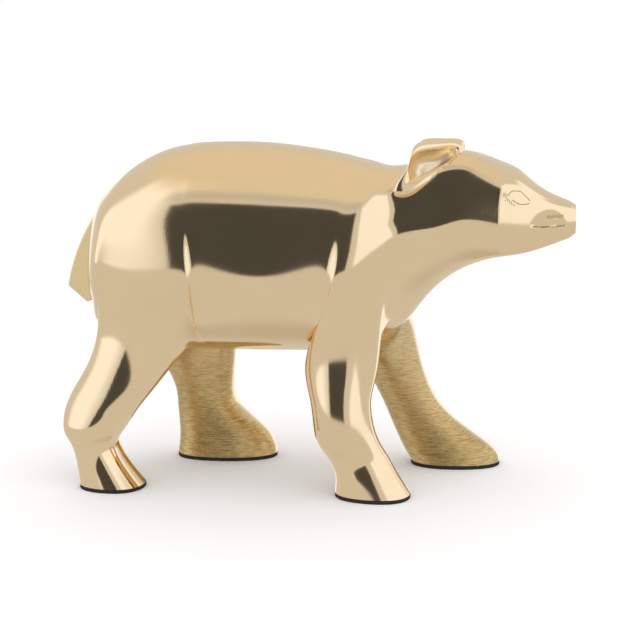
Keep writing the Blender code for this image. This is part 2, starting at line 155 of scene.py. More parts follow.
def on_ring(ring, degrees, side):
    """A point of a body ring, some degrees round it from the back."""
    angle = radians(degrees)
    upper = degrees < 90
    middle = up(ring.widest)
    reach = up(ring.top) - middle if upper else middle - up(ring.bottom)
    depth = sin(angle) ** 2
    if upper:
        depth = max(0.0, depth - FOLD_FADE) / (1 - FOLD_FADE)
    drawn_in = ring.fold * FOLD_DEPTH * depth
    width = (ring.half_width - drawn_in) * round_share(sin(angle), ring.round)
    if degrees in (0, 180):
        width = 0.0
    low = ring.belly_right if side == RIGHT else ring.belly_left
    if degrees == 180:
        low = (ring.belly_right + ring.belly_left) / 2
    lean = (1 - cos(angle)) / 2
    height = middle + reach * round_share(cos(angle), ring.round)
    if degrees == PLACES[RIBS]:
        width += ring.corner * CORNER_OUT * ring.half_width
        height += ring.corner * CORNER_UP * reach
    return Vector((along(ring.back + (low - ring.back) * lean), side * width, height))


print("body rings:", len(BODY), "with", 2 * BELLY, "corners each")

# %% [markdown]
# ## Four legs
#
# Each leg is drawn out of the body between three rings.  Its sections run from the
# belly down to the sole, and each has eight corners, as many as the hole that the leg
# grows from.  Separate legs joined by a Boolean would leave a hard line where they
# meet the body.  This way they flow into it with no seam.


# %% Sections of the legs
class Section(NamedTuple):
    """A section across a leg, in shares of the belly's height and the leg's size."""
    height: float
    heel: float           # places of its rear and front, from the foot's place
    toe: float
    outset: float         # how far it stands outside the feet's line
    width: float
    roll: float = 0.0     # how much its outer side lies higher
    turn: float = 0.0     # degrees that its toe turns outward


class Leg(NamedTuple):
    """A leg: its side, its body rings, the place of its foot, and its sections."""
    side: int
    rings: tuple
    foot: float
    sections: list


LEGS = {
    "right_rear": Leg(RIGHT, REAR, 0.0615, [
        Section(1.07, -0.26, 1.20, -0.19, 0.94, roll=0.09, turn=5),
        Section(0.78, -0.575, 0.76, -0.09, 0.95, turn=7),
        Section(0.60, -0.735, 0.465, -0.02, 0.94, turn=9),
        Section(0.44, -0.735, 0.235, 0.025, 0.93, turn=6),
        Section(0.30, -0.60, 0.155, -0.01, 0.82, turn=6),
        Section(0.0, -0.50, 0.56, 0.0, 1.0, turn=8)]),
    "left_rear": Leg(LEFT, REAR, 0.2550, [
        Section(1.07, -1.40, 0.19, -0.165, 0.94, roll=0.09),
        Section(0.66, -0.99, 0.12, -0.02, 0.95),
        Section(0.42, -0.90, 0.22, 0.03, 0.92),
        Section(0.20, -0.85, 0.73, -0.04, 0.90, turn=4),
        Section(0.0, -0.88, 0.87, -0.05, 1.02, turn=6)]),
    "right_front": Leg(RIGHT, FRONT, 0.6040, [
        Section(1.01, -1.08, 0.09, -0.175, 0.94, roll=0.09),
        Section(0.72, -0.98, -0.02, -0.03, 0.95),
        Section(0.46, -0.90, 0.08, 0.02, 0.94),
        Section(0.31, -0.73, 0.25, -0.01, 0.81, turn=3),
        Section(0.18, -0.58, 0.41, 0.02, 0.84, turn=4),
        Section(0.0, -0.58, 0.62, 0.0, 1.0, turn=6)]),
    "left_front": Leg(LEFT, FRONT, 0.7630, [
        Section(1.10, -1.85, -0.70, -0.165, 0.94, roll=0.09),
        Section(0.66, -1.41, -0.46, -0.02, 0.95),
        Section(0.36, -1.12, 0.01, 0.03, 0.92),
        Section(0.15, -0.90, 0.62, -0.04, 0.90, turn=4),
        Section(0.0, -0.75, 0.77, -0.05, 1.02, turn=6)]),
}
LEG_CORNER = 0.74         # where a section's corners lie, about 0.71 for an ellipse


def leg_section(leg, section):
    """The eight points of a leg's section, from its heel round its outside."""
    half_depth = (section.toe - section.heel) / 2 * LEG_DEPTH
    middle = along(leg.foot) + (section.toe + section.heel) / 2 * LEG_DEPTH
    half_width = section.width * LEG_WIDTH / 2
    line = STANCE / 2 + section.outset * LEG_WIDTH
    level = max(section.height * BELLY_HEIGHT, SOLE_LEVEL)
    turn = radians(section.turn)
    near, far = -LEG_CORNER, LEG_CORNER
    points = []
    for x, y in ((near, far), (0, 1), (far, far), (1, 0),
                 (far, near), (0, -1), (near, near), (-1, 0)):
        ahead, outward = x * half_depth, y * half_width
        points.append(Vector((
            middle + ahead * cos(turn) - outward * sin(turn),
            leg.side * (line + outward * cos(turn) + ahead * sin(turn)),
            level + y * section.roll * BELLY_HEIGHT)))
    return points


print("legs:", ", ".join(LEGS))

# %% [markdown]
# ## Helpers for nets
#
# A net is a bmesh with few corners.  Creases keep an edge crisp when a Subdivision
# Surface smooths the net.  Smoothing also shrinks a net, so `settle` moves the
# corners until the smooth surface passes through the places that were asked for.


# %% Faces from loops
def add_verts(mesh, points):
    """A vertex at each point."""
    return [mesh.verts.new(p) for p in points]


def join_loops(mesh, first, second):
    """Faces between two closed loops of as many vertices."""
    for i in range(len(first)):
        j = (i + 1) % len(first)
        mesh.faces.new((first[i], first[j], second[j], second[i]))


def close_with_fan(mesh, loop):
    """Closes a loop of an even number of vertices with four-sided faces."""
    centre = mesh.verts.new(sum((v.co for v in loop), Vector()) / len(loop))
    for i in range(1, len(loop), 2):
        mesh.faces.new((centre, loop[i - 2], loop[i - 1], loop[i]))


def close_with_strip(mesh, right, left, bulge):
    """Closes the end of the body with two rows of faces that meet in a strip."""
    strip = [right[BACK]]
    for i in range(1, BELLY):
        swell = sin(radians(PLACES[i])) * bulge
        strip.append(mesh.verts.new((right[i].co + left[i].co) / 2 + Vector((swell, 0, 0))))
    strip.append(right[BELLY])
    for row in (right, left):
        for i in range(BELLY):
            corners = dict.fromkeys((row[i], row[i + 1], strip[i + 1], strip[i]))
            mesh.faces.new(tuple(corners))


# %% Creases
def crease(mesh, loop, sharpness, closed=True):
    """Keeps the edges along a row of vertices crisp when they are smoothed."""
    layer = mesh.edges.layers.float.get("crease_edge")
    if layer is None:
        layer = mesh.edges.layers.float.new("crease_edge")
    for i in range(len(loop) if closed else len(loop) - 1):
        mesh.edges.get((loop[i], loop[(i + 1) % len(loop)]))[layer] = sharpness


# %% Objects from nets
def new_object(name, net, materials=()):
    """An object from a net, with its faces turned outward."""
    bmesh.ops.recalc_face_normals(net, faces=net.faces)
    mesh = bpy.data.meshes.new(name)
    net.to_mesh(mesh)
    net.free()
    mesh.shade_smooth()
    for material in materials:
        mesh.materials.append(material)
    made = bpy.data.objects.new(name, mesh)
    bpy.context.collection.objects.link(made)
    return made


def evaluated_mesh(made):
    """A new mesh of the object as its modifiers leave it."""
    depsgraph = bpy.context.evaluated_depsgraph_get()
    return bpy.data.meshes.new_from_object(made.evaluated_get(depsgraph))


def bake_modifiers(made):
    """Makes what the modifiers leave the object's own mesh."""
    old = made.data
    made.data = evaluated_mesh(made)
    made.data.name = made.name
    made.modifiers.clear()
    bpy.data.meshes.remove(old)


# %% Smoothing that keeps the size
def settle(made, rounds=6):
    """Moves the net's corners until the smooth surface passes through them."""
    wanted = [v.co.copy() for v in made.data.vertices]
    for _ in range(rounds):
        reached = evaluated_mesh(made)
        for vertex, want in zip(made.data.vertices, wanted):
            vertex.co += want - reached.vertices[vertex.index].co
        bpy.data.meshes.remove(reached)
        made.data.update()


def smoothed(made, settle_level, level, rounds=6):
    """Settles a net, smooths it and makes the result its mesh."""
    modifier = made.modifiers.new("Smooth", "SUBSURF")
    modifier.levels = modifier.render_levels = settle_level
    settle(made, rounds)
    modifier.levels = modifier.render_levels = level
    bake_modifiers(made)


print("helpers: loops, creases, objects and smoothing")

# %% [markdown]
# ## Brass that reflects a studio
#
# Polished brass has hardly any colour of its own.  It shows what stands round it,
# tinted warm.  A metallic Principled shader does that.  Two things keep it from
# looking like a computer's mirror: the roughness drifts a little from place to place,
# and very fine brushing from the polishing wheel draws the reflections out along it.
# The inner sides of the legs were only filed, in short coarse strokes, and an
# attribute of the mesh says where.  There the colour is also darker, most low down:
# painted shade between the legs.

# %% Colours of the metal
BRASS = (0.96, 0.76, 0.475, 1)
BRASS_DEEP = (0.93, 0.71, 0.42, 1)
TAIL_BRASS = (1.0, 0.80, 0.43, 1)
CUP_BRASS = (0.95, 0.81, 0.56, 1)
# The filed colours are darker than the polished brass: duller filed metal, with painted shade
# between the legs and in the hollows of the strokes
FILED_SHADED_BRASS = (0.74, 0.53, 0.23, 1)
FILED_HOLLOW_SHADE = (0.46, 0.31, 0.12, 1)
# painted shade: the grooves' dark colour, besides their rougher unpolished metal
SCRIBED_SHADE_BRASS = (0.36, 0.27, 0.12, 1)

# %% Grain of the metal
DRIFT_SCALE, BRUSH_SCALE, STROKE_SCALE = 28.0, 1500.0, 2000.0
DRIFT_RANGE = (0.3, 0.7)            # noise from the smoothest to the roughest place
DEEP_RANGE = (0.35, 0.65)           # noise over which the deeper tint comes in
DEEP_MOST = 0.35                    # and the most of it
EVEN = (1.0, 1.0, 1.0)              # a grain that isn't drawn out
BRUSH_STRETCH = (1.0, 1.0, 0.08)    # the brushing runs up and down
STROKE_STRETCH = (0.10, 0.10, 1.0)  # the strokes of the file run level
BRUSH_DEPTH, STROKE_DEPTH = 0.04 * MM, 0.4 * MM
BRUSH_STRENGTH, STROKE_STRENGTH = 0.22, 0.7
STROKE_RANGE = (0.33, 0.60)         # noise from the hollow to the ridge of a stroke
FILED_ROUGHNESS = 0.30


# %% Node helpers
def give(tree, socket, value):
    """Links a socket to another one, or sets its value."""
    if isinstance(value, bpy.types.NodeSocket):
        tree.links.new(value, socket)
    else:
        socket.default_value = value


def feed(tree, node, **values):
    """Sets a node's properties and inputs by their names."""
    for name, value in values.items():
        if hasattr(node, name):
            setattr(node, name, value)
        else:
            give(tree, node.inputs[name.replace("_", " ")], value)


def add_node(tree, kind, **values):
    """A new node, with its properties and inputs."""
    node = tree.nodes.new(kind)
    feed(tree, node, **values)
    return node


def calculate(tree, operation, *inputs, kind="ShaderNodeMath"):
    """One step of arithmetic on numbers, vectors or sockets."""
    node = add_node(tree, kind, operation=operation)
    for socket, value in zip(node.inputs, inputs):
        give(tree, socket, value)
    return node.outputs[0]


def ramp(tree, value, low, high, out_low, out_high, shape="LINEAR"):
    """value mapped from low..high to out_low..out_high."""
    node = add_node(tree, "ShaderNodeMapRange", interpolation_type=shape, Value=value,
                    From_Min=low, From_Max=high, To_Min=out_low, To_Max=out_high)
    return node.outputs[0]


def mixed(tree, share, first, second, kind="FLOAT"):
    """first where share is 0 and second where it is 1."""
    node = add_node(tree, "ShaderNodeMix", data_type=kind, Factor=share, A=first, B=second)
    return node.outputs["Result"]


# %% Helpers of the materials
def new_material(name):
    """A material, its node tree and its shader."""
    material = bpy.data.materials.new(name)
    material.use_nodes = True
    tree = material.node_tree
    return material, tree, tree.nodes["Principled BSDF"]


def stretched_noise(tree, stretch, scale, detail=3.0):
    """Noise on Object coordinates, with its grain drawn out by stretch."""
    place = add_node(tree, "ShaderNodeTexCoord").outputs["Object"]
    mapping = add_node(tree, "ShaderNodeMapping", Vector=place, Scale=stretch)
    noise = add_node(tree, "ShaderNodeTexNoise", Vector=mapping.outputs["Vector"],
                     Scale=scale, Detail=detail)
    return noise.outputs["Fac"]


# %% Polished brass
def polished_brass(name, tint=BRASS, filed=False, smoothest=0.07, roughest=0.12):
    """Brushed metal, with file strokes where the attribute filed says so, and there a darker colour
    that paints shade.
    """
    material, tree, shader = new_material(name)
    drift = stretched_noise(tree, EVEN, DRIFT_SCALE)
    brushing = stretched_noise(tree, BRUSH_STRETCH, BRUSH_SCALE, detail=2.0)
    deeper = ramp(tree, drift, *DEEP_RANGE, 0.0, DEEP_MOST)
    colour = mixed(tree, deeper, tint, BRASS_DEEP, "RGBA")
    roughness = ramp(tree, drift, *DRIFT_RANGE, smoothest, roughest)
    bump = add_node(tree, "ShaderNodeBump", Strength=BRUSH_STRENGTH, Distance=BRUSH_DEPTH,
                    Height=brushing)
    if filed:
        where = add_node(tree, "ShaderNodeAttribute", attribute_name="filed").outputs["Fac"]
        strokes = stretched_noise(tree, STROKE_STRETCH, STROKE_SCALE)
        scraped_and_shaded = mixed(tree, ramp(tree, strokes, *STROKE_RANGE, 0.0, 1.0),
                        FILED_HOLLOW_SHADE, FILED_SHADED_BRASS, "RGBA")
        # painted shade: where the attribute is strong, low down between the legs, the colour turns
        # to the darker filed brass
        colour = mixed(tree, where, colour, scraped_and_shaded, "RGBA")
        roughness = mixed(tree, where, roughness, FILED_ROUGHNESS)
        depth = calculate(tree, "MULTIPLY", strokes, where)
        bump = add_node(tree, "ShaderNodeBump", Strength=STROKE_STRENGTH,
                        Distance=STROKE_DEPTH, Height=depth, Normal=bump.outputs["Normal"])
    feed(tree, shader, Metallic=1.0, Base_Color=colour, Roughness=roughness,
         Normal=bump.outputs["Normal"])
    return material


skin_brass = polished_brass("polished brass, filed and shaded inside the legs", filed=True)
ear_brass = polished_brass("polished brass of the ears")
cup_brass = polished_brass("cast brass in the cups", CUP_BRASS, smoothest=0.30, roughest=0.42)
tail_brass = polished_brass("polished brass of the tail", TAIL_BRASS)
print("brass made:", skin_brass.name)


# %% Scribed lines and felt
LINE_GRAIN, FELT_GRAIN = 3000.0, 4000.0
LINE_ROUGHNESS, FELT_ROUGHNESS = 0.45, 0.95
LINT_RANGE = (0.4, 0.8)   # noise over which the lint comes in
FIBRE_STRENGTH, FIBRE_DEPTH = 0.6, 0.2 * MM
FELT_DARK = (0.010, 0.010, 0.011, 1)
FELT_LINT = (0.045, 0.044, 0.043, 1)


def scribed_brass():
    """The bottom of a scribed line, which polishing doesn't reach: rougher, and darkened with
    painted shade.
    """
    material, tree, shader = new_material("scribed brass")
    grain = stretched_noise(tree, EVEN, LINE_GRAIN)
    colour = mixed(tree, grain, SCRIBED_SHADE_BRASS, FILED_SHADED_BRASS, "RGBA")
    feed(tree, shader, Metallic=1.0, Base_Color=colour, Roughness=LINE_ROUGHNESS)
    return material


def black_felt():
    """Short dense fibres: matte black, with a little lint that catches light."""
    material, tree, shader = new_material("black felt")
    fibres = stretched_noise(tree, EVEN, FELT_GRAIN, detail=4.0)
    lint = ramp(tree, fibres, *LINT_RANGE, 0.0, 1.0)
    bump = add_node(tree, "ShaderNodeBump", Strength=FIBRE_STRENGTH, Distance=FIBRE_DEPTH,
                    Height=fibres)
    feed(tree, shader, Base_Color=mixed(tree, lint, FELT_DARK, FELT_LINT, "RGBA"),
         Roughness=FELT_ROUGHNESS, Normal=bump.outputs["Normal"])
    return material


line_brass = scribed_brass()
felt = black_felt()
print("also made:", line_brass.name, "and", felt.name)

# %% [markdown]
# ## The skin
#
# The net of the whole body is made first, with creases along the lower part of the
# folds before the thigh and behind the shoulder, along the edge of the flat face,
# round the nose and round the soles.  Four steps of smoothing then leave facets of
# about a millimetre, and a smooth shaded surface over them.

# %% Net of the body
FOLD_SHARPNESS = 0.55
FACE_SHARPNESS = 1.0
MUZZLE_SHARPNESS = 0.6


def body_net():
    """The net of the body with its legs, and the creases in it."""
    mesh = bmesh.new()
    rows = {RIGHT: {}, LEFT: {}}
    for ring in BODY:
        back, belly = add_verts(mesh, [on_ring(ring, PLACES[i], RIGHT) for i in (BACK, BELLY)])
        for side in (RIGHT, LEFT):
            flank = [on_ring(ring, p, side) for p in PLACES[1:-1]]
            rows[side][ring] = [back] + add_verts(mesh, flank) + [belly]
    for side in (RIGHT, LEFT):
        row = rows[side]
        for a, b in zip(BODY, BODY[1:]):
            under_leg = any({a, b} <= set(legs) for legs in (REAR, FRONT))
            for i in range(BELLY):
                if not (under_leg and FLANK <= i < INSIDE):
                    mesh.faces.new((row[a][i], row[b][i], row[b][i + 1], row[a][i + 1]))
        for legs in (REAR, FRONT):
            mesh.verts.remove(row[legs[1]][GROIN])
        for ring in (THIGH_FOLD, SHOULDER_FOLD):
            crease(mesh, row[ring][FLANK:GROIN + 1], FOLD_SHARPNESS, closed=False)
        crease(mesh, row[FACE][RIBS:INSIDE + 1], FACE_SHARPNESS, closed=False)
        crease(mesh, row[MUZZLE], MUZZLE_SHARPNESS, closed=False)
        crease(mesh, row[SNOUT], 1.0, closed=False)
    close_with_strip(mesh, rows[RIGHT][RUMP], rows[LEFT][RUMP], -RUMP_BULGE * BODY_LENGTH)
    close_with_strip(mesh, rows[RIGHT][SNOUT], rows[LEFT][SNOUT], 0.0)
    for leg in LEGS.values():
        a, m, b = (rows[leg.side][ring] for ring in leg.rings)
        loop = [a[FLANK], m[FLANK], b[FLANK], b[GROIN],
                b[INSIDE], m[INSIDE], a[INSIDE], a[GROIN]]
        for section in leg.sections:
            lower = add_verts(mesh, leg_section(leg, section))
            join_loops(mesh, loop, lower)
            loop = lower
        crease(mesh, loop, 1.0)
        close_with_fan(mesh, loop)
    return mesh


skin = new_object("bear_skin", body_net(), [skin_brass, line_brass])
smoothed(skin, settle_level=2, level=4)
print("skin:", len(skin.data.polygons), "faces")

# %% [markdown]
# ## The ears
#
# An ear is a short hood, open to the side and a little forward, with a thick rolled
# rim and a lobe that curls back to the neck.  Drawn out of the body's net it would
# need many more rings in the head, and the real one is cast by itself.  So it is a
# small net of its own: loops from the root in the head, over the rim and down into
# the cup.

# %% Net of an ear
EAR_LENGTH = 0.040
EAR_HEIGHT = 0.0183
EAR_CUP = 0.006
EAR_STAND = 0.0070
EAR_SET_BACK = 0.0022
EAR_DROOP = 0.0025
EAR_BACK = 0.015
# Outlines of the rim and the cup's mouth, in shares of the ear's length and height
EAR_RIM = [(-0.525, -0.04), (-0.375, 0.20), (-0.225, 0.33), (-0.10, 0.57),
           (0.03, 0.705), (0.19, 0.57), (0.35, 0.37), (0.475, 0.175),
           (0.45, -0.08), (0.225, -0.26), (-0.10, -0.295), (-0.39, -0.285)]
EAR_MOUTH = [(-0.295, -0.02), (-0.27, 0.12), (-0.23, 0.285), (-0.135, 0.45),
             (0.0, 0.475), (0.16, 0.345), (0.29, 0.23), (0.375, 0.09),
             (0.34, -0.035), (0.20, -0.10), (-0.025, -0.09), (-0.20, -0.065)]
EAR_PLACE = 35            # degrees round the head from its top
EAR_RING = Ring(0.715, 0.715, 0.715, 0.927, 0.301, 0.62, 1.03 * CHEEK)
EAR_TILT, EAR_TURN, EAR_RISE = radians(20), radians(18), radians(36)
EAR_LIP = [((a + c) / 2, (b + d) / 2) for (a, b), (c, d) in zip(EAR_RIM, EAR_MOUTH)]


def ear_axes(side):
    """The ear's length, its direction across and its outward direction."""
    out = Vector((cos(EAR_TILT) * sin(EAR_TURN), side * cos(EAR_TILT) * cos(EAR_TURN),
                  sin(EAR_TILT)))
    forward = (Vector((1, 0, 0)) - out * out.x).normalized()
    upward = (Vector((0, 0, 1)) - out * out.z - forward * forward.z).normalized()
    return (forward * cos(EAR_RISE) + upward * sin(EAR_RISE),
            upward * cos(EAR_RISE) - forward * sin(EAR_RISE), out)


def ear_loop(side, outline, depth, size=1.0):
    """A loop of the ear, some depth behind the plane of its rim."""
    length, across, out = ear_axes(side)
    centre = on_ring(EAR_RING, EAR_PLACE, side) + out * (EAR_STAND - depth)
    centre.x -= EAR_SET_BACK
    lobe = min(u for u, v in EAR_RIM)
    points = []
    for u, v in outline:
        droop = EAR_DROOP * (min(u, 0.0) / lobe) ** 2
        points.append(centre - out * droop + length * u * EAR_LENGTH * size
                      + across * v * EAR_HEIGHT * size)
    return points


def ear_net(side):
    """The net of an ear, from loops with a depth behind the rim and a size."""
    mesh = bmesh.new()
    loops = [(EAR_RIM, EAR_BACK, 0.80), (EAR_RIM, 0.5 * EAR_BACK, 0.95),
             (EAR_RIM, 0.10 * EAR_BACK), (EAR_LIP, 0.2 * MM), (EAR_MOUTH, 0.14 * EAR_CUP),
             (EAR_MOUTH, 0.6 * EAR_CUP, 0.85), (EAR_MOUTH, EAR_CUP, 0.5)]
    rows = [add_verts(mesh, ear_loop(side, *loop)) for loop in loops]
    for a, b in zip(rows, rows[1:]):
        join_loops(mesh, a, b)
    close_with_fan(mesh, rows[0])
    polished = set(mesh.faces)
    close_with_fan(mesh, rows[-1])
    in_cup = {v for row in rows[-2:] for v in row}
    for face in mesh.faces:
        if face not in polished or set(face.verts) <= in_cup:
            face.material_index = 1
    return mesh


ears = {}
for side, word in SIDES:
    ears[side] = new_object("polished_ear_" + word, ear_net(side), [ear_brass, cup_brass])
    smoothed(ears[side], settle_level=1, level=4, rounds=3)
    print(ears[side].name, len(ears[side].data.polygons), "faces")

# %% [markdown]
# ## Room for the ears' roots
#
# Each ear sits in a socket of the head.  Its cup is a little deeper than the head's
# surface there, so the skin is pressed down inside the ear's outline.  The step
# that this leaves is hidden under the rim.

# %% Press the skin down under the cups
WELL_SHARE = 0.6          # how far the pressed place ends from the rim toward the mouth
EAR_WELL = [(a + (c - a) * WELL_SHARE, b + (d - b) * WELL_SHARE)
            for (a, b), (c, d) in zip(EAR_RIM, EAR_MOUTH)]
CUP_WALL = 1.2 * MM
CUP_FLOOR = EAR_STAND - EAR_CUP - CUP_WALL    # the skin under a cup stays below this


def inside_outline(u, v, outline):
    """Whether a point lies inside a closed outline."""
    inside = False
    for (a, b), (c, d) in zip(outline, outline[1:] + outline[:1]):
        if (b > v) != (d > v) and u < (c - a) * (v - b) / (d - b) + a:
            inside = not inside
    return inside


def press_under_cup(side):
    """Moves the skin's vertices that lie under an ear's cup inward."""
    length, across, out = ear_axes(side)
    centre = on_ring(EAR_RING, EAR_PLACE, side) - Vector((EAR_SET_BACK, 0, 0))
    moved = 0
    for vertex in skin.data.vertices:
        away = vertex.co - centre
        if vertex.co.y * side > 0 and away.length < EAR_LENGTH:
            u, v = away.dot(length) / EAR_LENGTH, away.dot(across) / EAR_HEIGHT
            too_high = away.dot(out) - CUP_FLOOR
            if too_high > 0 and inside_outline(u, v, EAR_WELL):
                vertex.co -= out * too_high
                moved += 1
    return moved


for side, word in SIDES:
    print("under the", word, "cup:", press_under_cup(side), "vertices pressed down")

# %% [markdown]
# ## Lips
#
# Above the line of the mouth each side of the muzzle is drawn in a little, and this
# lens of metal mirrors the table where the cheek round it mirrors a bright panel.  It
# is too small for the net of the body, so the fine mesh itself is moved along its
# normals, by nothing at the lens's upper edge and most at the mouth.

# %% Draw the lips in
LIPS_FROM, LIPS_TO = 102.5 * MM, 120.0 * MM
LIPS_MOUTH, LIPS_TOP = 127.9 * MM, 135.6 * MM
LIPS_DEPTH = 1.0 * MM
LIPS_FACING = 0.3         # only what faces sideways by more than this is moved
LIPS_FADE = 2.0           # how steeply the depth grows from the lens's two corners


def draw_lips_in():
    """Draws each side of the muzzle in, ever deeper from its top to the mouth."""
    for vertex in skin.data.vertices:
        along_mouth = (vertex.co.x - LIPS_FROM) / (LIPS_TO - LIPS_FROM)
        if 0 < along_mouth < 1 and abs(vertex.normal.y) > LIPS_FACING:
            bow = sin(pi * along_mouth)
            top = LIPS_MOUTH + (LIPS_TOP - LIPS_MOUTH) * bow ** 0.5
            drop = (top - vertex.co.z) / (LIPS_TOP - LIPS_MOUTH)
            if drop > 0 and vertex.co.z > LIPS_MOUTH:
                vertex.co -= vertex.normal * LIPS_DEPTH * drop * min(1.0, LIPS_FADE * bow)


draw_lips_in()
print("lips drawn in, mm:", LIPS_DEPTH / MM)

# %% [markdown]
# ## Eye and mouth
#
# The face has two scribed marks on each side: an almond for the eye, with a few hatch
# strokes below its rear corner, and the line of the mouth, with scratches above it.
# Bump would only shade them.  Real grooves are part of the mesh and catch the light
# from any side, so thin rods are laid on the surface along each stroke and taken out
# with one Boolean.

# %% Strokes of the face
# Each is a row of places along and up, in millimetres
EYE_UPPER = [(92.2, 142.6), (93.0, 144.0), (94.4, 144.7), (97.6, 144.4), (99.2, 143.1),
             (100.7, 141.7), (102.6, 139.6)]
EYE_LOWER = [(102.3, 138.9), (100.4, 138.5), (97.6, 138.6), (95.4, 139.7), (93.9, 140.9)]
HATCHING = [[(91.4, 141.9), (92.2, 139.8)], [(92.5, 141.2), (93.3, 138.6)],
            [(93.6, 140.1), (94.3, 137.8)], [(94.9, 138.9), (95.3, 137.5)],
            [(90.7, 141.0), (91.1, 139.9)]]
MOUTH = [(103.4, 128.2), (107.5, 127.8), (112.0, 127.6), (116.6, 127.8), (119.4, 128.1)]
SCRATCH_STEP = 0.8
SCRATCH_LIFTS = (0.0, 0.3, -0.2, 0.4, 0.1, 0.5, 0.0, 0.3, 0.1, 0.4)
SCRATCHES = [[(110.2 + SCRATCH_STEP * i, 130.9 + lift), (110.9 + SCRATCH_STEP * i, 133.1 + lift)]
             for i, lift in enumerate(SCRATCH_LIFTS)]
LINE_WIDTH = 0.55 * MM
MOUTH_WIDTH = 0.85 * MM
HATCH_WIDTH = 0.50 * MM
LINE_SHARE = 0.6          # share of a rod's half width that sinks into the surface
LINE_STEP = 0.45 * MM
ROD_CORNERS = 6
BESIDE = 0.1              # metres from the middle of the bear, well clear of its side


# %% Rods along the strokes
def flowing(points, step):
    """Points a step apart on a smooth curve through the given ones."""
    points = [Vector((x * MM, z * MM)) for x, z in points]
    ends = [points[0] * 2 - points[1]] + points + [points[-1] * 2 - points[-2]]
    made = []
    for a, b, c, d in zip(ends, ends[1:], ends[2:], ends[3:]):
        pieces = max(2, round((c - b).length / step))
        for i in range(pieces):
            t = i / pieces
            made.append(0.5 * (2 * b + (c - a) * t + (2 * a - 5 * b + 4 * c - d) * t * t
                               + (3 * b - a - 3 * c + d) * t * t * t))
    return made + [points[-1]]


def add_rod(mesh, surface, points, side, width):
    """A thin pointed rod that lies on the surface along a stroke."""
    line = []
    for x, z in flowing(points, LINE_STEP):
        hit, normal, _, _ = surface.ray_cast(Vector((x, side * BESIDE, z)), Vector((0, -side, 0)))
        line.append((hit + normal * width / 2 * (1 - LINE_SHARE), normal))
    loops = []
    for i in range(1, len(line) - 1):
        place, normal = line[i]
        ahead = (line[i + 1][0] - line[i - 1][0]).normalized()
        across = ahead.cross(normal).normalized()
        loops.append(add_verts(mesh, [
            place + (across * cos(a) + normal * sin(a)) * width / 2
            for a in (2 * pi * k / ROD_CORNERS for k in range(ROD_CORNERS))]))
    for a, b in zip(loops, loops[1:]):
        join_loops(mesh, a, b)
    for loop, (tip, _) in ((loops[0], line[0]), (loops[-1], line[-1])):
        point = mesh.verts.new(tip)
        for k in range(ROD_CORNERS):
            mesh.faces.new((loop[k], loop[(k + 1) % ROD_CORNERS], point))


def surface_of(made):
    """The object's faces, ready for rays."""
    return BVHTree.FromPolygons([v.co for v in made.data.vertices],
                                [tuple(p.vertices) for p in made.data.polygons])


# %% Scribe the face
SHARP_ANGLE = radians(40)


def scribe_face():
    """Cuts all strokes into the skin, and returns how many faces line them."""
    surface = surface_of(skin)
    rods = bmesh.new()
    for side in (RIGHT, LEFT):
        for stroke in (EYE_UPPER, EYE_LOWER):
            add_rod(rods, surface, stroke, side, LINE_WIDTH)
        add_rod(rods, surface, MOUTH, side, MOUTH_WIDTH)
        for stroke in HATCHING + SCRATCHES:
            add_rod(rods, surface, stroke, side, HATCH_WIDTH)
    for face in rods.faces:
        face.material_index = 1
    cutter = new_object("rods", rods, [skin_brass, line_brass])
    groove = skin.modifiers.new("Grooves", "BOOLEAN")
    groove.operation, groove.solver, groove.object = "DIFFERENCE", "EXACT", cutter
    bake_modifiers(skin)
    bpy.data.objects.remove(cutter)
    skin.data.set_sharp_from_angle(angle=SHARP_ANGLE)
    return sum(p.material_index == 1 for p in skin.data.polygons)


print("faces of the grooves:", scribe_face())

# %% [markdown]
# ## Filed inner sides
#
# The wheel can't reach between the legs, so their inner sides keep the marks of a
# coarse file.  A float attribute, 1 low down where a leg's surface faces the other
# side, carries this to the material, which also makes these places darker: painted
# shade between the legs, deepest low down.  It could be painted by hand, but a rule on the
# surface's direction and height gives soft edges and works for all four legs.

# %% Mark the filed places
# The filing's strength also darkens the colour with painted shade, so the inner sides grow darker
# toward the bottom
FILED_TOP = 0.082         # the filing ends at this height
FILED_FADE = 0.012        # and fades out over this much below it
FILED_FULL = 0.030        # it is at its full strength below this height
FILED_UPPER = 0.55        # its strength high on a leg
FILED_AND_SHADE_GAIN = 0.45         # and what that gains low down
FILED_EDGE = (0.05, 0.4)  # how far a surface faces inward where filing starts and is full


def smooth_step(value, low, high):
    """0 at low, 1 at high, and an S curve between."""
    share = min(max((value - low) / (high - low), 0.0), 1.0)
    return share * share * (3 - 2 * share)


def mark_filed(mesh):
    """Writes the strength of the filing, which also sets how far painted shade darkens the colour,
    and returns how many vertices are over half.
    """
    attribute = mesh.attributes.new("filed", "FLOAT", "POINT")
    for vertex in mesh.vertices:
        inward = -vertex.normal.y * (1 if vertex.co.y > 0 else -1)
        facing = smooth_step(inward, *FILED_EDGE)
        height = 1 - smooth_step(vertex.co.z, FILED_TOP - FILED_FADE, FILED_TOP)
        low_down = 1 - smooth_step(vertex.co.z, FILED_FULL, FILED_TOP)
        attribute.data[vertex.index].value = facing * height * (FILED_UPPER + FILED_AND_SHADE_GAIN * low_down)
    return sum(a.value > 0.5 for a in attribute.data)


print("filed vertices:", mark_filed(skin.data))

# %% [markdown]
# ## Burrs of the file
#
# A coarse file also throws up small burrs along its strokes.  They are scattered over
# the filed places with Geometry Nodes: points on the faces that the attribute marks,
# and on each a sliver that lies along the surface, level give or take some degrees.
# Modelling thousands by hand would take days, and bump alone leaves the edges of the
# legs too clean.

